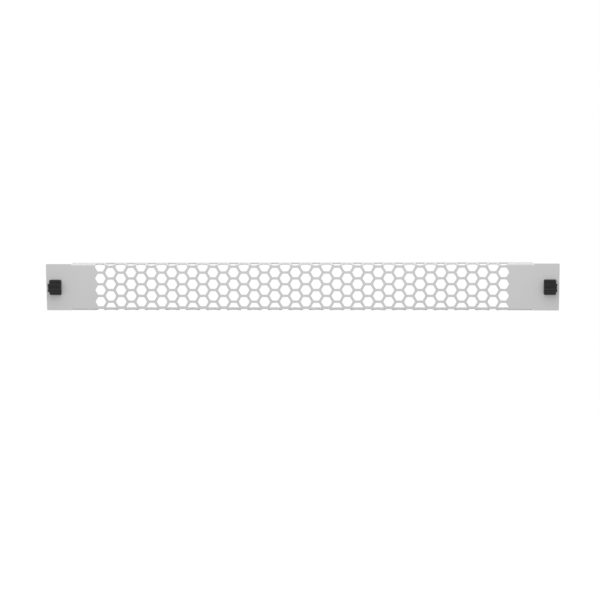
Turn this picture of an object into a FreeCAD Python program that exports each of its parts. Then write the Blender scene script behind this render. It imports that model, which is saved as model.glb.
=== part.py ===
"""Perforated 1U rack blanking panel, held by two push-pull snap fasteners.

Millimetres. X runs along the panel, +Y points into the rack and +Z is up. The origin lies on the
plane where the panel meets the rack rails, at the middle of the panel's width and height.
Each fastener is a grommet, whose split shank passes through the ear and the rail's square hole,
and a plunger, whose pin keeps the shank's legs spread until it is pulled out by its grip.
"""

import FreeCAD
import Part

import math
import os

from FreeCAD import Vector

# ---- Folded sheet ----
PANEL_WIDTH = 482.6
PANEL_HEIGHT = 44.1
SHEET = 1.2
BEND_INNER_RADIUS = 0.6
NEUTRAL_FACTOR = 0.44
FLANGE_DEPTH = 12.5
FLANGE_INSET = 24.0
FLANGE_CORNER_RADIUS = 0.5
EAR_CORNER_RADIUS = 1.0
RELIEF_WIDTH = 0.4
RELIEF_OVERCUT = 0.1

# ---- Hexagonal holes ----
HEX_ACROSS_FLATS = 8.9
COLUMN_PITCH = 9.726
ROW_PITCH = 11.07
# Least plain sheet between a hole and the flange's end or edge.
END_MARGIN = 20.0
EDGE_MARGIN = 2.0

# ---- Rack rail that the panel is fastened to ----
FASTENER_INSET = 8.75
RAIL_THICKNESS = 2.5

# ---- Grommet ----
SHANK_WIDTH = 9.1
SHANK_HOLE_CLEARANCE = 0.1
HEAD_WIDTH = 11.5
HEAD_HEIGHT = 14.5
HEAD_THICKNESS = 1.8
HEAD_CORNER_RADIUS = 1.2
HEAD_EDGE_CHAMFER = 0.35
BARB_STEP = 0.7
BARB_LAND = 0.8
BARB_CLEARANCE = 0.1
BARB_TAPER_LENGTH = 4.2
BARB_TIP_INSET = 0.8
LEG_SLOT_WIDTH = 1.4
LEG_SLOT_START = 2.2
BORE_WIDTH = 5.0
RIDGE_HEIGHT = 0.4
RIDGE_START = 1.2
RIDGE_LENGTH = 0.6

# ---- Plunger ----
PIN_CLEARANCE = 0.06
PIN_SHOULDER_GAP = 0.3
PIN_TIP_LENGTH = 1.0
PIN_POINT_LENGTH = 1.0
PIN_POINT_WIDTH = 3.0
PLUNGER_TRAVEL = 4.5
NECK_WIDTH = 8.4
NECK_HEIGHT = 4.4
NECK_LENGTH = 2.2
GRIP_WIDTH = 12.4
GRIP_HEIGHT = 8.5
GRIP_THICKNESS = 3.0
GRIP_CROWN = 0.5
GRIP_END_SCOOP = 0.4
GRIP_CORNER_RADIUS = 0.7
GRIP_EDGE_CHAMFER = 0.4
CENTRE_GROOVE_WIDTH = 3.4
CENTRE_GROOVE_DEPTH = 0.6
SIDE_GROOVE_WIDTH = 1.0
SIDE_GROOVE_DEPTH = 0.35
SIDE_GROOVE_OFFSET = 2.8

# ---- Derived sizes ----
FRONT = -SHEET
HALF_WIDTH = PANEL_WIDTH / 2
HALF_HEIGHT = PANEL_HEIGHT / 2
FLANGE_HALF_LENGTH = HALF_WIDTH - FLANGE_INSET
FLANGE_END = FRONT + FLANGE_DEPTH
BEND_OUTER_RADIUS = BEND_INNER_RADIUS + SHEET
BEND_Y = FRONT + BEND_OUTER_RADIUS
BEND_Z = HALF_HEIGHT - BEND_OUTER_RADIUS

# Lengths along the flat blank from mid-height: the bend's start and end, and the flange's edge.
FLAT_BEND_START = BEND_Z
FLAT_BEND_LENGTH = (BEND_INNER_RADIUS + NEUTRAL_FACTOR * SHEET) * math.pi / 2
FLAT_BEND_END = FLAT_BEND_START + FLAT_BEND_LENGTH
FLAT_EDGE = FLAT_BEND_END + FLANGE_END - BEND_Y

HEX_HALF_FLATS = HEX_ACROSS_FLATS / 2
HEX_POINT_RADIUS = HEX_ACROSS_FLATS / math.sqrt(3)
STAGGER = ROW_PITCH / 4
COLUMN_ROOM = FLANGE_HALF_LENGTH - END_MARGIN - HEX_POINT_RADIUS
ROW_ROOM = FLAT_EDGE - EDGE_MARGIN - HEX_HALF_FLATS
COLUMN_COUNT = 2 * math.floor(COLUMN_ROOM / COLUMN_PITCH + 0.5)
ROW_SPAN = math.floor((ROW_ROOM - STAGGER) / ROW_PITCH)
CUT_MARGIN = 0.4
BEND_STEPS = 2

FASTENER_X = HALF_WIDTH - FASTENER_INSET

HEAD_FRONT = FRONT - HEAD_THICKNESS
BARB_START = RAIL_THICKNESS + BARB_CLEARANCE
BARB_TAPER_START = BARB_START + BARB_LAND
SHANK_END = BARB_TAPER_START + BARB_TAPER_LENGTH
RIDGE_END = RIDGE_START + RIDGE_LENGTH
PIN_TIP_START = RIDGE_END + PLUNGER_TRAVEL
GRIP_BACK = HEAD_FRONT - NECK_LENGTH
GRIP_FRONT = GRIP_BACK - GRIP_THICKNESS

Y_AXIS = Vector(0, 1, 0)


def centred_box(width, height, y_low, y_high):
    """A box centred on the Y axis, width along X and height along Z."""
    return Part.makeBox(width, y_high - y_low, height, Vector(-width / 2, y_low, -height / 2))


def square_bar(width, y_low, y_high):
    """A square bar about the Y axis."""
    return centred_box(width, width, y_low, y_high)


def square_taper(start_width, end_width, y_low, y_high):
    """A square bar whose width changes evenly from one end to the other."""
    start, end = start_width / 2, end_width / 2
    return Part.makeWedge(-start, y_low, -start, -end, -end, start, y_high, start, end, end)


def edges_along(shape, direction):
    """The straight edges of a shape that run along a direction."""
    straight = [edge for edge in shape.Edges if isinstance(edge.Curve, Part.Line)]
    return [edge for edge in straight if abs(edge.tangentAt(edge.FirstParameter).dot(direction)) > 0.999]


def edges_at_y(shape, y):
    """The edges of a shape that lie wholly in the plane at one y."""
    return [e for e in shape.Edges if abs(e.BoundBox.YMin - y) < 1e-4 and abs(e.BoundBox.YMax - y) < 1e-4]


# ---- Folded sheet ----


def channel():
    """Face, bends and flanges between the ears: one C-shaped section drawn along X."""
    start = -FLANGE_HALF_LENGTH
    slant = math.sqrt(0.5)

    def bend_points(radius, side):
        directions = ((-1, 0), (-slant, slant), (0, 1))
        return [Vector(start, BEND_Y + dy * radius, side * (BEND_Z + dz * radius)) for dy, dz in directions]

    def half_section(side):
        """From the outer face, round the bend and the flange's edge, to the inner face."""
        outer = bend_points(BEND_OUTER_RADIUS, side)
        inner = bend_points(BEND_INNER_RADIUS, side)
        outer_edge = Vector(start, FLANGE_END, outer[2].z)
        inner_edge = Vector(start, FLANGE_END, inner[2].z)
        curves = [
            Part.Arc(*outer),
            Part.LineSegment(outer[2], outer_edge),
            Part.LineSegment(outer_edge, inner_edge),
            Part.LineSegment(inner_edge, inner[2]),
            Part.Arc(*inner),
        ]
        return outer[0], inner[0], curves

    top_outer, top_inner, top = half_section(1)
    low_outer, low_inner, low = half_section(-1)
    curves = top + low + [Part.LineSegment(low_outer, top_outer), Part.LineSegment(low_inner, top_inner)]
    section = Part.Wire(Part.__sortEdges__([curve.toShape() for curve in curves]))
    body = Part.Face(section).extrude(Vector(2 * FLANGE_HALF_LENGTH, 0, 0))
    ends = [
        edge
        for edge in edges_along(body, Vector(0, 0, 1))
        if abs(edge.CenterOfMass.y - FLANGE_END) < 1e-6 and edge.Length < 2 * SHEET
    ]
    return body.makeFillet(FLANGE_CORNER_RADIUS, ends)


def ear(side):
    """The flat end that lies against a rail, with rounded corners, a bend relief and the shank's hole."""
    width = HALF_WIDTH - FLANGE_HALF_LENGTH
    low_x = FLANGE_HALF_LENGTH if side > 0 else -HALF_WIDTH
    plate = Part.makeBox(width, SHEET, PANEL_HEIGHT, Vector(low_x, FRONT, -HALF_HEIGHT))
    outer = [
        edge
        for edge in edges_along(plate, Y_AXIS)
        if abs(edge.CenterOfMass.x - side * HALF_WIDTH) < 1e-6
    ]
    plate = plate.makeFillet(EAR_CORNER_RADIUS, outer)
    relief_depth = BEND_OUTER_RADIUS + RELIEF_OVERCUT
    relief_x = FLANGE_HALF_LENGTH if side > 0 else -FLANGE_HALF_LENGTH - RELIEF_WIDTH
    cutters = [
        Part.makeBox(RELIEF_WIDTH, 3 * SHEET, 2 * relief_depth, Vector(relief_x, -2 * SHEET, z - relief_depth))
        for z in (HALF_HEIGHT, -HALF_HEIGHT)
    ]
    hole_width = SHANK_WIDTH + 2 * SHANK_HOLE_CLEARANCE
    hole = centred_box(hole_width, hole_width, -2 * SHEET, SHEET)
    hole.translate(Vector(side * FASTENER_X, 0, 0))
    return plate.cut(cutters + [hole])


def hex_half_width(offset):
    """Half the width of a hexagon with level flats, at a height offset from its centre."""
    return HEX_POINT_RADIUS - abs(offset) / math.sqrt(3)


def hex_levels(centre, low, high):
    """The flat lengths at which a hexagon's outline turns between two limits."""
    return [low, centre, high] if low < centre < high else [low, high]


def hex_outline(x, centre, low, high):
    """The part of a hexagon between two flat lengths, as (x, flat length) corners."""
    levels = hex_levels(centre, low, high)
    right = [(x + hex_half_width(level - centre), level) for level in levels]
    left = [(x - hex_half_width(level - centre), level) for level in reversed(levels)]
    return right + left


def prism(points, sweep):
    """A solid swept along a vector from a closed polygon of points."""
    return Part.Face(Part.makePolygon(points + points[:1])).extrude(sweep)


def face_cutters(x, centre, low, high, side):
    y = FRONT - CUT_MARGIN
    points = [Vector(px, y, side * level) for px, level in hex_outline(x, centre, low, high)]
    return [prism(points, Vector(0, SHEET + 2 * CUT_MARGIN, 0))]


def flange_cutters(x, centre, low, high, side):
    z = side * (HALF_HEIGHT + CUT_MARGIN)
    outline = hex_outline(x, centre, low, high)
    points = [Vector(px, BEND_Y + level - FLAT_BEND_END, z) for px, level in outline]
    return [prism(points, Vector(0, 0, -side * (SHEET + 2 * CUT_MARGIN)))]


def bend_section(x, half_width, angle, side):
    """A rectangle across the sheet in the bend, on the radial plane at an angle from the face."""
    rows = []
    for radius in (BEND_INNER_RADIUS - CUT_MARGIN, BEND_OUTER_RADIUS + CUT_MARGIN):
        y = BEND_Y - radius * math.cos(angle)
        z = side * (BEND_Z + radius * math.sin(angle))
        rows.append((Vector(x - half_width, y, z), Vector(x + half_width, y, z)))
    (inner_left, inner_right), (outer_left, outer_right) = rows
    return Part.makePolygon([inner_left, inner_right, outer_right, outer_left, inner_left])


def bend_cutters(x, centre, low, high, side):
    """The hexagon wrapped round the bend: ruled walls between radial lines, square to the sheet."""
    levels = hex_levels(centre, low, high)
    cutters = []
    for start, end in zip(levels, levels[1:]):
        sections = []
        for step in range(BEND_STEPS + 1):
            level = start + (end - start) * step / BEND_STEPS
            angle = (level - FLAT_BEND_START) / FLAT_BEND_LENGTH * math.pi / 2
            sections.append(bend_section(x, hex_half_width(level - centre), angle, side))
        cutters.append(Part.makeLoft(sections, True, True))
    return cutters


def hole_centres():
    """Each hole's x and height on the flat blank: odd columns stand half a pitch above even ones."""
    for column in range(COLUMN_COUNT):
        x = (column - (COLUMN_COUNT - 1) / 2) * COLUMN_PITCH
        shift = -STAGGER if column % 2 == 0 else STAGGER
        for row in range(-ROW_SPAN, ROW_SPAN + 1):
            yield x, row * ROW_PITCH + shift


def zone_cutters(make, zone_low, zone_high):
    """Cutters for what every hole has in one zone of the blank: face, bends or flanges."""
    cutters = []
    for x, height in hole_centres():
        centre = abs(height)
        low = max(zone_low, centre - HEX_HALF_FLATS)
        high = min(zone_high, centre + HEX_HALF_FLATS)
        if high > low:
            cutters += make(x, centre, low, high, math.copysign(1, height))
    return cutters


def perforated_panel():
    sheet = channel().fuse([ear(-1), ear(1)]).removeSplitter()
    sheet = sheet.cut(zone_cutters(bend_cutters, FLAT_BEND_START, FLAT_BEND_END))
    sheet = sheet.cut(zone_cutters(face_cutters, -FLAT_BEND_START, FLAT_BEND_START))
    return sheet.cut(zone_cutters(flange_cutters, FLAT_BEND_END, FLAT_EDGE))


# ---- Fasteners, drawn about the Y axis and moved to their places ----


def grommet():
    """Front plate and split, barbed shank; a ridge in its square bore keeps the pin captive."""
    head = centred_box(HEAD_WIDTH, HEAD_HEIGHT, HEAD_FRONT, FRONT)
    head = head.makeFillet(HEAD_CORNER_RADIUS, edges_along(head, Y_AXIS))
    head = head.makeChamfer(HEAD_EDGE_CHAMFER, edges_at_y(head, HEAD_FRONT))

    barb_width = SHANK_WIDTH + 2 * BARB_STEP
    tip_width = SHANK_WIDTH - 2 * BARB_TIP_INSET
    body = head.fuse(
        [
            square_bar(SHANK_WIDTH, FRONT, BARB_START),
            square_bar(barb_width, BARB_START, BARB_TAPER_START),
            square_taper(barb_width, tip_width, BARB_TAPER_START, SHANK_END),
        ]
    )
    past_end = SHANK_END + CUT_MARGIN
    bores = [
        square_bar(BORE_WIDTH, HEAD_FRONT - CUT_MARGIN, RIDGE_START),
        square_bar(BORE_WIDTH - 2 * RIDGE_HEIGHT, RIDGE_START, RIDGE_END),
        square_bar(BORE_WIDTH, RIDGE_END, past_end),
    ]
    slots = [
        centred_box(2 * barb_width, LEG_SLOT_WIDTH, LEG_SLOT_START, past_end),
        centred_box(LEG_SLOT_WIDTH, 2 * barb_width, LEG_SLOT_START, past_end),
    ]
    return body.cut(bores + slots).removeSplitter()


def grip_face():
    """The grip seen from the front: crowned top and bottom, hollow ends, rounded corners."""
    half_width = GRIP_WIDTH / 2 - GRIP_CORNER_RADIUS
    half_height = GRIP_HEIGHT / 2 - GRIP_CORNER_RADIUS
    corner = half_height - GRIP_CROWN
    scooped = half_width - GRIP_END_SCOOP
    corners = [
        Vector(sx * half_width, GRIP_BACK, sz * corner) for sx, sz in ((-1, 1), (1, 1), (1, -1), (-1, -1))
    ]
    middles = [
        Vector(0, GRIP_BACK, half_height),
        Vector(scooped, GRIP_BACK, 0),
        Vector(0, GRIP_BACK, -half_height),
        Vector(-scooped, GRIP_BACK, 0),
    ]
    arcs = [
        Part.Arc(start, middle, end).toShape()
        for start, middle, end in zip(corners, middles, corners[1:] + corners[:1])
    ]
    return Part.Face(Part.Wire(arcs)).makeOffset2D(GRIP_CORNER_RADIUS)


def round_groove(width, depth, z):
    """A cutter for a round-bottomed groove along X in the grip's front."""
    radius = (width**2 / 4 + depth**2) / (2 * depth)
    start = Vector(-GRIP_WIDTH, GRIP_FRONT + depth - radius, z)
    return Part.makeCylinder(radius, 2 * GRIP_WIDTH, start, Vector(1, 0, 0))


def vee_groove(width, depth, z):
    """A cutter for a V-shaped groove along X in the grip's front."""
    x = -GRIP_WIDTH
    bottom = Vector(x, GRIP_FRONT + depth, z)
    mouth = [Vector(x, GRIP_FRONT - depth, z + side * width) for side in (-1, 1)]
    return prism([mouth[0], bottom, mouth[1]], Vector(2 * GRIP_WIDTH, 0, 0))


def plunger():
    """Ribbed grip on a narrower neck, and a square pin with a relief that the bore's ridge runs in."""
    grip = grip_face().extrude(Vector(0, -GRIP_THICKNESS, 0))
    grip = grip.makeChamfer(GRIP_EDGE_CHAMFER, edges_at_y(grip, GRIP_FRONT))
    grooves = [round_groove(CENTRE_GROOVE_WIDTH, CENTRE_GROOVE_DEPTH, 0)]
    for side in (-1, 1):
        grooves.append(vee_groove(SIDE_GROOVE_WIDTH, SIDE_GROOVE_DEPTH, side * SIDE_GROOVE_OFFSET))
    grip = grip.cut(grooves)

    pin_width = BORE_WIDTH - 2 * PIN_CLEARANCE
    relief_start = RIDGE_START - PIN_SHOULDER_GAP
    tip_end = PIN_TIP_START + PIN_TIP_LENGTH
    return grip.fuse(
        [
            centred_box(NECK_WIDTH, NECK_HEIGHT, GRIP_BACK, HEAD_FRONT),
            square_bar(pin_width, HEAD_FRONT, relief_start),
            square_bar(pin_width - 2 * RIDGE_HEIGHT, relief_start, PIN_TIP_START),
            square_bar(pin_width, PIN_TIP_START, tip_end),
            square_taper(pin_width, PIN_POINT_WIDTH, tip_end, tip_end + PIN_POINT_LENGTH),
        ]
    ).removeSplitter()


def main():
    nodes = {"perforated_panel": perforated_panel()}
    for name, side in (("left", -1), ("right", 1)):
        place = Vector(side * FASTENER_X, 0, 0)
        for piece, shape in (("grommet", grommet()), ("plunger", plunger())):
            shape.translate(place)
            nodes[f"{name}_{piece}"] = shape
    os.makedirs("parts", exist_ok=True)
    for name, shape in nodes.items():
        shape.exportStep(f"parts/{name}.step")


main()
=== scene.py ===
"""Looks of a perforated rack blanking panel: powder-coated sheet steel with two black snap fasteners.

Metres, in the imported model's frame: X along the panel, +Y into the rack, +Z up.
"""

import math

import bmesh
import bpy
import numpy as np
from mathutils import Matrix, Vector


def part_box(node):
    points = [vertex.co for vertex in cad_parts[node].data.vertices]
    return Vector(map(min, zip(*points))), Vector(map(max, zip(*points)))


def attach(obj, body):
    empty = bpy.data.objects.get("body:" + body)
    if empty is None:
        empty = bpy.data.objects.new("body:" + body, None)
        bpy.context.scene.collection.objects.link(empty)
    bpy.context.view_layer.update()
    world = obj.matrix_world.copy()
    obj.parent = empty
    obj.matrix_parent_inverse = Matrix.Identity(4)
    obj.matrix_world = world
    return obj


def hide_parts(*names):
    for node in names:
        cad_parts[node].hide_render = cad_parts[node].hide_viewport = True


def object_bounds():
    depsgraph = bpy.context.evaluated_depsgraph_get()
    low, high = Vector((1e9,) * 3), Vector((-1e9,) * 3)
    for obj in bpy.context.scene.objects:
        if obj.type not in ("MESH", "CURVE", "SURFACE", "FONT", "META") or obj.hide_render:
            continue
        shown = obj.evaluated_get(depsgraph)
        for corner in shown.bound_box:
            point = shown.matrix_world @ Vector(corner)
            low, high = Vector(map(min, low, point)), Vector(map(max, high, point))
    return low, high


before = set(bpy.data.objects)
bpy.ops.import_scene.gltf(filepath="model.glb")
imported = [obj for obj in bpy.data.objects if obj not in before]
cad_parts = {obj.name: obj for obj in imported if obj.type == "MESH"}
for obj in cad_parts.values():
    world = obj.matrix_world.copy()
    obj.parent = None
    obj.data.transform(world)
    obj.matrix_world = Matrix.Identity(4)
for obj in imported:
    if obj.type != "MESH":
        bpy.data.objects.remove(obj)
CAD_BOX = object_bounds()

MM = 0.001
WHITE = (1.0, 1.0, 1.0, 1.0)

# ---- Folded sheet ----
SHEET = 1.2 * MM
BEND_INNER_RADIUS = 0.6 * MM
NEUTRAL_FACTOR = 0.44
FLANGE_INSET = 24.0 * MM
FLANGE_CORNER_RADIUS = 0.5 * MM
EAR_CORNER_RADIUS = 1.0 * MM
RELIEF_WIDTH = 0.4 * MM
RELIEF_OVERCUT = 0.1 * MM
FASTENER_INSET = 8.75 * MM
SHANK_HOLE_WIDTH = 9.3 * MM
HEX_ACROSS_FLATS = 8.9 * MM
HEX_CORNER_RADIUS = 1.5 * MM
COLUMN_COUNT = 40
COLUMN_PITCH = 9.726 * MM
ROW_PITCH = 11.07 * MM
ROW_SPAN = 2

# ---- Fineness of the sheet's mesh, arc steps in degrees ----
EDGE_ROUNDING = 0.13 * MM
ROUNDING_STEPS = 2
BEND_STEPS = 8
HEX_SIDE_STEP = 15
HEX_TOP_STEP = 20
CORNER_STEP = 22.5
LEVEL_DECIMALS = 9

# ---- Moulded fasteners ----
MOULD_ROUNDING = 0.14 * MM
MOULD_ROUNDING_STEPS = 3
SHARP_ANGLE = math.radians(28)
FLAT_ANGLE = math.radians(0.5)
MERGE_DISTANCE = 0.001 * MM

# ---- Camera, with angles in degrees and the lens in millimetres ----
CAMERA_AZIMUTH = 2.93
CAMERA_ELEVATION = 7.75
CAMERA_ROLL = -0.39
CAMERA_DISTANCE = 1.4
CAMERA_LENS = 89.2
CAMERA_AIM = Vector((-0.75 * MM, 0.0, -12.35 * MM))
CAMERA_REACH = 200.0

# ---- Floor and surroundings ----
FLOOR_DROP = 0.35
FLOOR_SIZE = 60.0
FLOOR_COLOUR = (0.6, 0.6, 0.6, 1.0)
FLOOR_LIFT = 0.45
WORLD_STRENGTH = 0.92

# ---- Soft boxes, with powers in watts ----
OVERHEAD_PLACE = (0.0, -0.22, 0.33)
OVERHEAD_SIZE = (0.7, 0.2)
OVERHEAD_POWER = 0.95
STRIP_PLACE = (0.0, -0.12, 1.2)
STRIP_SIZE = (1.6, 0.08)
STRIP_POWER = 1.7

# ---- Noise in the materials, scales in repeats per metre ----
NOISE_DETAIL = 3.0

# ---- Powder coat, with linear colours ----
COAT_COLOUR = (0.562, 0.562, 0.562)
COAT_CLOUD_SCALE = 18.0
COAT_CLOUDS = (0.98, 1.02)
WORN_COAT_COLOUR = (0.66, 0.66, 0.66)
COAT_WEAR_SCALE = 120.0
COAT_WEAR = (0.0, 0.5)
COAT_ROUGHNESS_SCALE = 300.0
COAT_ROUGHNESS = (0.42, 0.58)
COAT_PEEL_SCALE = 1400.0
COAT_PEEL_STRENGTH = 0.35
COAT_PEEL_HEIGHT = 0.04 * MM

# ---- Black plastic as a lit and a shaded copy of one nylon, with linear colours ----
# The grommet's colour is lighter and the plunger's darker than the one nylon of both: painted light where
# the grip shades the grommet, painted shade where the grip's face reflects the bright surroundings.
GROMMET_LIT_COLOUR = (0.017, 0.017, 0.017)
GROMMET_ROUGHNESS = 0.43
GROMMET_GLOSS = 0.3
PLUNGER_SHADED_COLOUR = (0.003, 0.003, 0.003)
PLUNGER_ROUGHNESS = 0.6
PLUNGER_GLOSS = 0.37
PLASTIC_CLOUD_SCALE = 250.0
PLASTIC_CLOUDS = (0.8, 1.2)
# Grey of the plastics' rounded edges: partly rubbed wear, partly a painted highlight along the edges.
PLASTIC_WEAR_AND_HIGHLIGHT_COLOUR = (0.09, 0.09, 0.09)
PLASTIC_WEAR_AND_HIGHLIGHT_SCALE = 600.0
PLASTIC_WEAR_AND_HIGHLIGHT = (0.2, 0.9)
PLASTIC_ROUGHNESS_SCALE = 900.0
PLASTIC_ROUGHNESS_SPREAD = 0.07
PLASTIC_GRAIN_SCALE = 5000.0
PLASTIC_GRAIN_STRENGTH = 0.3
PLASTIC_GRAIN_HEIGHT = 0.04 * MM


def new_material(name):
    """A node material and its node tree, still empty."""
    material = bpy.data.materials.new(name)
    material.use_nodes = True
    material.node_tree.nodes.clear()
    return material, material.node_tree


def add_node(tree, kind, **inputs):
    """A shader node with its named input values set."""
    node = tree.nodes.new(kind)
    for name, value in inputs.items():
        node.inputs[name.replace("_", " ")].default_value = value
    return node


def remap(tree, value, low, high):
    """A value from 0 to 1 turned into one from low to high."""
    node = add_node(tree, "ShaderNodeMapRange", To_Min=low, To_Max=high)
    tree.links.new(value, node.inputs["Value"])
    return node.outputs["Result"]


def noise(tree, place, scale):
    """Noise from 0 to 1 over the object's own coordinates."""
    node = add_node(tree, "ShaderNodeTexNoise", Scale=scale, Detail=NOISE_DETAIL)
    tree.links.new(place, node.inputs["Vector"])
    return node.outputs["Fac"]


def noise_between(tree, place, scale, low, high):
    """The same noise, from low to high."""
    return remap(tree, noise(tree, place, scale), low, high)


def tinted(tree, factor, colour):
    """A colour made darker or lighter by a factor that varies over the surface."""
    node = tree.nodes.new("ShaderNodeVectorMath")
    node.operation = "SCALE"
    node.inputs[0].default_value = colour
    tree.links.new(factor, node.inputs["Scale"])
    return node.outputs["Vector"]


def multiply(tree, first, second):
    """Two values multiplied."""
    node = tree.nodes.new("ShaderNodeMath")
    node.operation = "MULTIPLY"
    tree.links.new(first, node.inputs[0])
    tree.links.new(second, node.inputs[1])
    return node.outputs["Value"]


def mixed(tree, factor, colour, other):
    """A colour turned towards a fixed one by a factor."""
    node = tree.nodes.new("ShaderNodeMix")
    node.data_type = "RGBA"
    node.inputs["B"].default_value = other + (1.0,)
    tree.links.new(factor, node.inputs["Factor"])
    tree.links.new(colour, node.inputs["A"])
    return node.outputs["Result"]


def edge_wear_and_highlight(tree, place, scale, low, high):
    """How much lighter the edges are made: only where the edge attribute says so, in patches between low
    and high. On the coat this is rubbed wear; on the plastics it is partly wear and partly a painted
    highlight.
    """
    edge = tree.nodes.new("ShaderNodeAttribute")
    edge.attribute_name = "edge"
    return multiply(tree, edge.outputs["Fac"], noise_between(tree, place, scale, low, high))


def relief(tree, place, scale, strength, height):
    """The normal of a surface with fine bumps all over."""
    bump = add_node(tree, "ShaderNodeBump", Strength=strength, Distance=height)
    tree.links.new(noise(tree, place, scale), bump.inputs["Height"])
    return bump.outputs["Normal"]


def give_surface(tree, shader):
    """The shader's outcome as the surface of the material."""
    output = tree.nodes.new("ShaderNodeOutputMaterial")
    tree.links.new(shader.outputs[0], output.inputs["Surface"])


def powder_coat():
    """Light grey powder coat: faint clouding, fine orange peel, edges rubbed a little lighter."""
    material, tree = new_material("powder_coat")
    place = tree.nodes.new("ShaderNodeTexCoord").outputs["Object"]
    shader = tree.nodes.new("ShaderNodeBsdfPrincipled")
    clouds = tinted(tree, noise_between(tree, place, COAT_CLOUD_SCALE, *COAT_CLOUDS), COAT_COLOUR)
    lighter_edges = edge_wear_and_highlight(tree, place, COAT_WEAR_SCALE, *COAT_WEAR)
    tree.links.new(mixed(tree, lighter_edges, clouds, WORN_COAT_COLOUR), shader.inputs["Base Color"])
    roughness = noise_between(tree, place, COAT_ROUGHNESS_SCALE, *COAT_ROUGHNESS)
    tree.links.new(roughness, shader.inputs["Roughness"])
    peel = relief(tree, place, COAT_PEEL_SCALE, COAT_PEEL_STRENGTH, COAT_PEEL_HEIGHT)
    tree.links.new(peel, shader.inputs["Normal"])
    give_surface(tree, shader)
    return material


def black_plastic(name, colour, roughness, gloss):
    """Moulded black nylon: satin, with a fine spark-eroded grain and edges made greyer, partly by rubbed
    wear and partly as a painted highlight.
    """
    material, tree = new_material(name)
    place = tree.nodes.new("ShaderNodeTexCoord").outputs["Object"]
    shader = add_node(tree, "ShaderNodeBsdfPrincipled", Specular_IOR_Level=gloss)
    clouds = tinted(tree, noise_between(tree, place, PLASTIC_CLOUD_SCALE, *PLASTIC_CLOUDS), colour)
    # Lighter edges on the plastic: partly wear, partly a painted highlight.
    lighter_edges = edge_wear_and_highlight(tree, place, PLASTIC_WEAR_AND_HIGHLIGHT_SCALE, *PLASTIC_WEAR_AND_HIGHLIGHT)
    tree.links.new(mixed(tree, lighter_edges, clouds, PLASTIC_WEAR_AND_HIGHLIGHT_COLOUR), shader.inputs["Base Color"])
    smoother = roughness - PLASTIC_ROUGHNESS_SPREAD
    rougher = roughness + PLASTIC_ROUGHNESS_SPREAD
    varied = noise_between(tree, place, PLASTIC_ROUGHNESS_SCALE, smoother, rougher)
    tree.links.new(varied, shader.inputs["Roughness"])
    grain = relief(tree, place, PLASTIC_GRAIN_SCALE, PLASTIC_GRAIN_STRENGTH, PLASTIC_GRAIN_HEIGHT)
    tree.links.new(grain, shader.inputs["Normal"])
    give_surface(tree, shader)
    return material


def arc(start, end, step):
    """Angles in radians from start to end degrees, about a step apart."""
    return np.radians(np.linspace(start, end, round((end - start) / step) + 1))


def hex_half_width(offset, apothem, radius):
    """Half the width of a round-cornered hexagon with level flats, at a height offset from its centre.

    It follows the circle of the side corner first, then the straight slanted side, which loses one
    part of width for every root of three parts of height, and then the circle of the top corner.
    """
    rise = np.minimum(np.abs(offset), apothem)
    point = 2 * apothem / math.sqrt(3)
    slanted = point - rise / math.sqrt(3)
    side_centre = point - 2 * radius / math.sqrt(3)
    side_arc = side_centre + np.sqrt(np.maximum(radius**2 - rise**2, 0))
    top_centre = point / 2 - radius / math.sqrt(3)
    top_arc = top_centre + np.sqrt(np.maximum(radius**2 - np.maximum(rise - (apothem - radius), 0) ** 2, 0))
    width = np.where(rise < radius / 2, side_arc, slanted)
    return np.where(rise > apothem - radius / 2, top_arc, width)


def hex_levels(apothem, radius):
    """Heights from a hexagon's centre at which its outline needs a point."""
    side = radius * np.sin(arc(0, 30, HEX_SIDE_STEP))
    top = apothem - radius + radius * np.sin(arc(30, 90, HEX_TOP_STEP))
    upper = np.concatenate([side, top])
    return np.concatenate([-upper, upper])


def corner_levels(edge, radius, inset):
    """Heights on a corner's arc, its outline moved into the sheet by an inset."""
    return edge - radius + (radius - inset) * np.sin(arc(0, 90, CORNER_STEP))


def cornered(height, edge, end, radius, inset):
    """Where an end lies in X at a height, with its corner rounded and its outline moved in by an inset."""
    rise = np.clip(np.abs(height) - (edge - radius), 0, radius - inset)
    return end - radius + np.sqrt(np.maximum((radius - inset) ** 2 - rise**2, 0))


class Fold:
    """How the flat blank lies once folded.

    A place in the blank is its X, its height along the sheet from the middle and its depth behind
    the front. The ears stay flat at any height.
    """

    def __init__(self, low, high):
        self.front, self.half_width, self.half_height = low.y, high.x, high.z
        self.outer_radius = BEND_INNER_RADIUS + SHEET
        self.bend_y = self.front + self.outer_radius
        self.bend_start = self.half_height - self.outer_radius
        self.bend_length = (BEND_INNER_RADIUS + NEUTRAL_FACTOR * SHEET) * math.pi / 2
        self.bend_end = self.bend_start + self.bend_length
        self.edge = self.bend_end + high.y - self.bend_y
        self.flange_x = self.half_width - FLANGE_INSET

    def angle(self, height, on_ear):
        """How far the sheet has turned at a height, from nothing to a quarter turn."""
        turned = np.clip((np.abs(height) - self.bend_start) / self.bend_length, 0, 1)
        return np.where(on_ear, 0, turned * math.pi / 2)

    def point(self, x, height, depth, on_ear):
        """Flat up to the bend, then round it at a radius that shrinks with depth, then along the flange."""
        rise = np.abs(height)
        angle = self.angle(height, on_ear)
        radius = self.outer_radius - depth
        along = np.where(on_ear, 0, np.maximum(rise - self.bend_end, 0))
        y = self.bend_y - radius * np.cos(angle) + along
        z = np.where(on_ear, rise, np.minimum(rise, self.bend_start) + radius * np.sin(angle))
        return np.stack([x, y, np.sign(height) * z], axis=-1)

    def normal(self, height, on_ear):
        """Outward from the front of the sheet: forward, then up or down as the sheet turns."""
        angle = self.angle(height, on_ear)
        return np.stack([0 * angle, -np.cos(angle), np.sign(height) * np.sin(angle)], axis=-1)

    def upward(self, height, on_ear):
        """Along the sheet, towards greater heights."""
        angle = self.angle(height, on_ear)
        return np.stack([0 * angle, np.sign(height) * np.sin(angle), np.cos(angle)], axis=-1)


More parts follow.
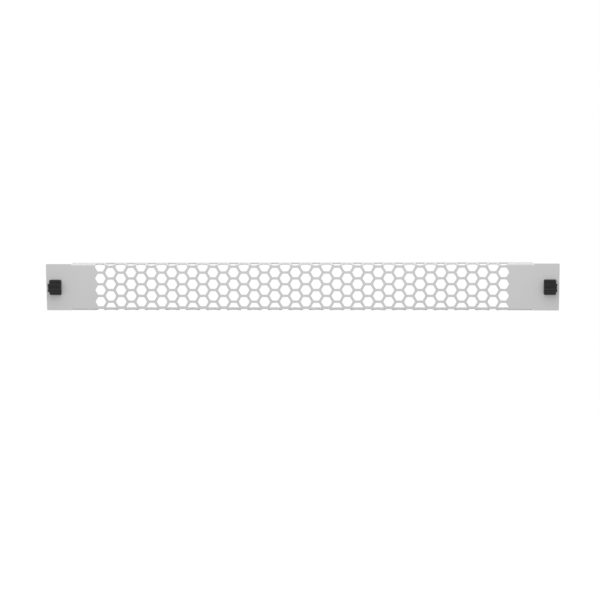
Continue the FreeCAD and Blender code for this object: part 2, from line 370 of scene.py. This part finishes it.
def blank_grid(fold):
    """The blank's front surface as quads between lines that follow every outline.

    Lines run up the blank, along the ends, the reliefs and both sides of each column of holes.
    Neighbouring columns stand half a row pitch apart in height. Levels cross the lines wherever an
    outline turns, and levels less than a nanometre apart count as one. A cell between two lines and
    two levels is sheet or void as a whole. All outlines are moved into the sheet by the edge rounding.
    """
    inset = EDGE_ROUNDING
    apothem = HEX_ACROSS_FLATS / 2 + inset
    radius = HEX_CORNER_RADIUS + inset
    shank_x = fold.half_width - FASTENER_INSET
    shank = SHANK_HOLE_WIDTH / 2 + inset
    relief_height = fold.half_height - fold.outer_radius - RELIEF_OVERCUT - inset
    columns = (np.arange(COLUMN_COUNT) - (COLUMN_COUNT - 1) / 2) * COLUMN_PITCH
    shifts = np.where(np.arange(COLUMN_COUNT) % 2 == 0, -1, 1) * ROW_PITCH / 4
    rows = np.arange(-ROW_SPAN, ROW_SPAN + 1) * ROW_PITCH

    centres = np.concatenate([rows - ROW_PITCH / 4, rows + ROW_PITCH / 4])
    upper = np.concatenate(
        [
            fold.bend_start + fold.bend_length * np.linspace(0, 1, BEND_STEPS + 1),
            corner_levels(fold.edge, FLANGE_CORNER_RADIUS, inset),
            corner_levels(fold.half_height, EAR_CORNER_RADIUS, inset),
            [relief_height, shank],
        ]
    )
    holes = (centres[:, None] + hex_levels(apothem, radius)).ravel()
    levels = np.unique(np.round(np.concatenate([holes, upper, -upper]), LEVEL_DECIMALS))
    height = levels[:, None]

    ear = cornered(height, fold.half_height, fold.half_width, EAR_CORNER_RADIUS, inset)
    flange = cornered(height, fold.edge, fold.flange_x, FLANGE_CORNER_RADIUS, inset)
    relief_x = fold.flange_x + RELIEF_WIDTH + inset
    upright = np.ones_like(height) * [shank_x + shank, shank_x - shank, relief_x]
    end_lines = np.hstack([ear, upright, flange])
    hole_heights = rows[None, None, :] + shifts[None, :, None]
    nearest = np.abs(height[:, :, None] - hole_heights).min(axis=2)
    half = hex_half_width(nearest, apothem, radius)
    rims = np.stack([columns - half, columns + half], axis=2).reshape(len(levels), -1)
    lines = np.hstack([-end_lines, rims, end_lines[:, ::-1]])

    centre = (height[:-1] + height[1:]) / 2
    middle = np.abs(centre)
    on_ear = middle < fold.half_height - inset
    ends = np.hstack([on_ear, on_ear & (middle > shank), on_ear, middle < relief_height])
    solid = np.abs(centre[:, :, None] - hole_heights).min(axis=2) > apothem
    webs = np.stack([solid, np.ones_like(solid)], axis=2).reshape(len(levels) - 1, -1)
    plain = np.ones_like(middle, dtype=bool)
    is_sheet = np.hstack([ends, plain, webs, ends[:, ::-1]])

    row, column = np.nonzero(is_sheet)
    corner = row * lines.shape[1] + column
    quads = np.stack([corner, corner + 1, corner + 1 + lines.shape[1], corner + lines.shape[1]], axis=1)
    used, quads = np.unique(quads, return_inverse=True)
    flat = np.stack([lines.ravel(), np.repeat(levels, lines.shape[1])], axis=1)
    return flat[used], quads.reshape(-1, 4)


def rim_of(flat, quads):
    """Each outline vertex, the next one with the sheet on its left, and the way out of the sheet there.

    The way out is the sum of the outward directions of the two sides that meet there, divided by one
    more than their product, so that a step along it moves both sides by as much.
    """
    start = quads.ravel()
    end = np.roll(quads, -1, axis=1).ravel()
    count = len(flat)
    alone = ~np.isin(start * count + end, end * count + start)
    start, end = start[alone], end[alone]
    side = flat[end] - flat[start]
    outward = np.stack([side[:, 1], -side[:, 0]], axis=1)
    outward /= np.linalg.norm(outward, axis=1, keepdims=True)
    after = np.zeros((count, 2))
    before = np.zeros((count, 2))
    after[start], before[end] = outward, outward
    both = after[start] + before[start]
    mitre = both / (1 + np.sum(after[start] * before[start], axis=1, keepdims=True))
    following = np.zeros(count, int)
    following[start] = np.arange(len(start))
    return start, following[end], mitre


def folded_sheet(low, high):
    """Vertices, quads, normals and edge marks of the whole folded, perforated and softly edged sheet.

    The blank's front is laid out flat, its outlines get a rim whose section is a rounding, a straight
    wall and a rounding, and the back closes it. Then every point goes to its place in the fold.
    A rounding turns a quarter: a point on it lies out by the rounding times the sine of its turn and
    deep by the rounding times one less the cosine. Its normal leans out by that turn, and its edge
    mark is the sine of twice the turn, which is most halfway round.
    """
    fold = Fold(low, high)
    flat, quads = blank_grid(fold)
    start, following, mitre = rim_of(flat, quads)
    on_ear = np.abs(flat[:, 0]) > fold.flange_x + RELIEF_WIDTH / 2
    x, height = flat.T
    count, rim_count = len(flat), len(start)

    turn = arc(0, 90, 90 / ROUNDING_STEPS)
    out = EDGE_ROUNDING * np.concatenate([np.sin(turn), np.sin(turn[::-1])])
    depth = EDGE_ROUNDING * (1 - np.cos(turn))
    depth = np.concatenate([depth, SHEET - depth[::-1]])
    lean = np.concatenate([turn, math.pi - turn[::-1]])

    rim_flat = flat[start] + mitre * out[1:-1, None, None]
    rim_ear = np.broadcast_to(on_ear[start], rim_flat.shape[:2])
    rim_points = fold.point(rim_flat[..., 0], rim_flat[..., 1], depth[1:-1, None], rim_ear)
    outward = mitre / np.linalg.norm(mitre, axis=1, keepdims=True)
    upward = fold.upward(height[start], on_ear[start])
    along = outward[:, :1] * np.array([1.0, 0, 0]) + outward[:, 1:] * upward
    front = fold.normal(height, on_ear)
    rim_normals = np.cos(lean[1:-1, None, None]) * front[start] + np.sin(lean[1:-1, None, None]) * along
    front_points = fold.point(x, height, 0 * x, on_ear)
    back_points = fold.point(x, height, 0 * x + SHEET, on_ear)
    points = np.concatenate([front_points, back_points, rim_points.reshape(-1, 3)])
    normals = np.concatenate([front, -front, rim_normals.reshape(-1, 3)])
    edge_mark = np.concatenate([np.zeros(2 * count), np.repeat(np.abs(np.sin(2 * lean[1:-1])), rim_count)])

    rings = 2 * count + np.arange(len(out) - 2)[:, None] * rim_count + np.arange(rim_count)
    rings = np.vstack([start, rings, start + count])
    ahead = rings[:, following]
    walls = np.stack([ahead[:-1], rings[:-1], rings[1:], ahead[1:]], axis=-1).reshape(-1, 4)
    faces = np.concatenate([quads, quads[:, ::-1] + count, walls])
    return points, faces, normals, edge_mark


def shade_smooth(mesh):
    """Every face smooth, so that the mesh's normals run on across its faces."""
    mesh.polygons.foreach_set("use_smooth", np.ones(len(mesh.polygons), bool))


def mark_edges(mesh, marks):
    """The edge attribute, one value for each vertex, from which the materials take their lighter edges:
    wear on the coat, and on the plastics wear with a painted highlight.
    """
    mesh.attributes.new("edge", "FLOAT", "POINT").data.foreach_set("value", marks)


def add_piece(name, mesh, body, node, material):
    """A mesh as a piece that rides on a body in place of a CAD node."""
    mesh.materials.append(material)
    piece = bpy.data.objects.new(name, mesh)
    bpy.context.scene.collection.objects.link(piece)
    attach(piece, body)
    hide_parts(node)
    return piece


def add_surface(name, body, node, material, surface):
    """A piece from vertices, faces, normals and edge marks."""
    points, faces, normals, edge_mark = surface
    mesh = bpy.data.meshes.new(name)
    mesh.from_pydata(points.tolist(), [], faces.tolist())
    shade_smooth(mesh)
    mark_edges(mesh, edge_mark)
    mesh.normals_split_custom_set_from_vertices(normals.tolist())
    add_piece(name, mesh, body, node, material)


def merged_copy(name, source):
    """A new mesh and a working shell of a CAD mesh, its loose triangles joined and its flats made whole."""
    points = np.empty(3 * len(source.vertices))
    corners = np.empty(len(source.loops), int)
    source.vertices.foreach_get("co", points)
    source.loops.foreach_get("vertex_index", corners)
    mesh = bpy.data.meshes.new(name)
    mesh.from_pydata(points.reshape(-1, 3).tolist(), [], corners.reshape(-1, 3).tolist())
    shell = bmesh.new()
    shell.from_mesh(mesh)
    bmesh.ops.remove_doubles(shell, verts=shell.verts, dist=MERGE_DISTANCE)
    bmesh.ops.dissolve_limit(shell, angle_limit=FLAT_ANGLE, verts=shell.verts, edges=shell.edges)
    return mesh, shell


def round_outer_edges(shell):
    """Round the shell's sharp outer edges and give the indices of the faces that this adds."""
    bevel = bmesh.ops.bevel(
        shell,
        geom=[edge for edge in shell.edges if edge.is_convex and edge.calc_face_angle(0.0) > SHARP_ANGLE],
        offset=MOULD_ROUNDING,
        segments=MOULD_ROUNDING_STEPS,
        profile=0.5,
        affect="EDGES",
        clamp_overlap=True,
        loop_slide=True,
    )
    shell.faces.index_update()
    return [face.index for face in bevel["faces"]]


def marks_within(mesh, chosen):
    """One for each vertex that touches chosen faces only, and nought for the others."""
    corners = np.empty(len(mesh.loops), int)
    mesh.loops.foreach_get("vertex_index", corners)
    sides = np.empty(len(mesh.polygons), int)
    mesh.polygons.foreach_get("loop_total", sides)
    within = np.zeros(len(mesh.polygons))
    within[chosen] = 1.0
    marks = np.ones(len(mesh.vertices))
    np.minimum.at(marks, corners, np.repeat(within, sides))
    return marks


def add_moulding(name, body, node, material):
    """A moulded piece in its CAD node's own form, with its outer edges softly rounded.

    Inner corners stay sharp, which leaves the sliding pin its clearance.
    """
    mesh, shell = merged_copy(name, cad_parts[node].data)
    rounded = round_outer_edges(shell)
    shell.to_mesh(mesh)
    shell.free()
    shade_smooth(mesh)
    mark_edges(mesh, marks_within(mesh, rounded))
    piece = add_piece(name, mesh, body, node, material)
    shading = piece.modifiers.new("shading", "WEIGHTED_NORMAL")
    shading.keep_sharp = False


def seen_directly(tree):
    """1 for what the camera sees straight, mirrored or through glass, and 0 for what only lights."""
    path = tree.nodes.new("ShaderNodeLightPath")
    seen = path.outputs["Is Camera Ray"]
    for name in ("Is Glossy Ray", "Is Transmission Ray"):
        both = tree.nodes.new("ShaderNodeMath")
        both.operation = "MAXIMUM"
        tree.links.new(seen, both.inputs[0])
        tree.links.new(path.outputs[name], both.inputs[1])
        seen = both.outputs["Value"]
    return seen


def floor_material():
    """Pale matt floor, lifted to white where the camera sees it, which keeps the shadows."""
    material, tree = new_material("pale_floor")
    matt = add_node(tree, "ShaderNodeBsdfDiffuse", Color=FLOOR_COLOUR)
    lift = add_node(tree, "ShaderNodeEmission", Color=WHITE)
    tree.links.new(remap(tree, seen_directly(tree), 0.0, FLOOR_LIFT), lift.inputs["Strength"])
    both = tree.nodes.new("ShaderNodeAddShader")
    tree.links.new(matt.outputs["BSDF"], both.inputs[0])
    tree.links.new(lift.outputs["Emission"], both.inputs[1])
    give_surface(tree, both)
    return material


def make_floor():
    """A flat floor some way below the panel, which hangs on its rails."""
    low = CAD_BOX[0].z - FLOOR_DROP
    half = FLOOR_SIZE / 2
    mesh = bpy.data.meshes.new("floor")
    corners = [(-half, -half, low), (half, -half, low), (half, half, low), (-half, half, low)]
    mesh.from_pydata(corners, [], [(0, 1, 2, 3)])
    mesh.materials.append(floor_material())
    floor = bpy.data.objects.new("floor", mesh)
    bpy.context.scene.collection.objects.link(floor)


def make_world():
    """Even white surroundings: white to the camera, a plain level to the object."""
    world = bpy.data.worlds.new("studio")
    world.use_nodes = True
    tree = world.node_tree
    tree.nodes.clear()
    output = tree.nodes.new("ShaderNodeOutputWorld")
    light = add_node(tree, "ShaderNodeBackground", Color=WHITE)
    tree.links.new(remap(tree, seen_directly(tree), WORLD_STRENGTH, 1.0), light.inputs["Strength"])
    tree.links.new(light.outputs["Background"], output.inputs["Surface"])
    bpy.context.scene.world = world


def make_light(name, place, size, power):
    """A rectangular soft box aimed at the panel's middle."""
    data = bpy.data.lights.new(name, "AREA")
    data.shape = "RECTANGLE"
    data.size, data.size_y = size
    data.energy = power
    light = bpy.data.objects.new(name, data)
    turn = (-Vector(place)).to_track_quat("-Z", "Y").to_matrix().to_4x4()
    light.matrix_world = Matrix.Translation(place) @ turn
    bpy.context.scene.collection.objects.link(light)


def make_camera():
    """A camera that looks at its aim from an azimuth and an elevation, with a slight roll."""
    azimuth = math.radians(CAMERA_AZIMUTH)
    elevation = math.radians(CAMERA_ELEVATION)
    back = Vector(
        (
            math.sin(azimuth) * math.cos(elevation),
            -math.cos(azimuth) * math.cos(elevation),
            math.sin(elevation),
        )
    )
    data = bpy.data.cameras.new("camera")
    data.lens = CAMERA_LENS
    data.clip_end = CAMERA_REACH
    camera = bpy.data.objects.new("camera", data)
    turn = (-back).to_track_quat("-Z", "Y").to_matrix().to_4x4()
    roll = Matrix.Rotation(math.radians(CAMERA_ROLL), 4, "Z")
    camera.matrix_world = Matrix.Translation(CAMERA_AIM + back * CAMERA_DISTANCE) @ turn @ roll
    bpy.context.scene.collection.objects.link(camera)
    bpy.context.scene.camera = camera


coat = powder_coat()
# Lit and shaded copies of one black nylon: painted light on the grommet, painted shade on the plunger.
grommet_plastic = black_plastic("grommet_nylon", GROMMET_LIT_COLOUR, GROMMET_ROUGHNESS, GROMMET_GLOSS)
plunger_plastic = black_plastic("plunger_nylon", PLUNGER_SHADED_COLOUR, PLUNGER_ROUGHNESS, PLUNGER_GLOSS)
panel = folded_sheet(*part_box("perforated_panel"))
add_surface("panel_sheet", "panel", "perforated_panel", coat, panel)
for side in ("left", "right"):
    head = f"{side}_grommet"
    pull = f"{side}_plunger"
    add_moulding(f"{side}_snap_grommet", "panel", head, grommet_plastic)
    add_moulding(f"{side}_pull_plunger", pull, pull, plunger_plastic)

make_floor()
make_world()
make_light("overhead", OVERHEAD_PLACE, OVERHEAD_SIZE, OVERHEAD_POWER)
make_light("strip", STRIP_PLACE, STRIP_SIZE, STRIP_POWER)
make_camera()
bpy.context.scene.view_settings.view_transform = "Standard"
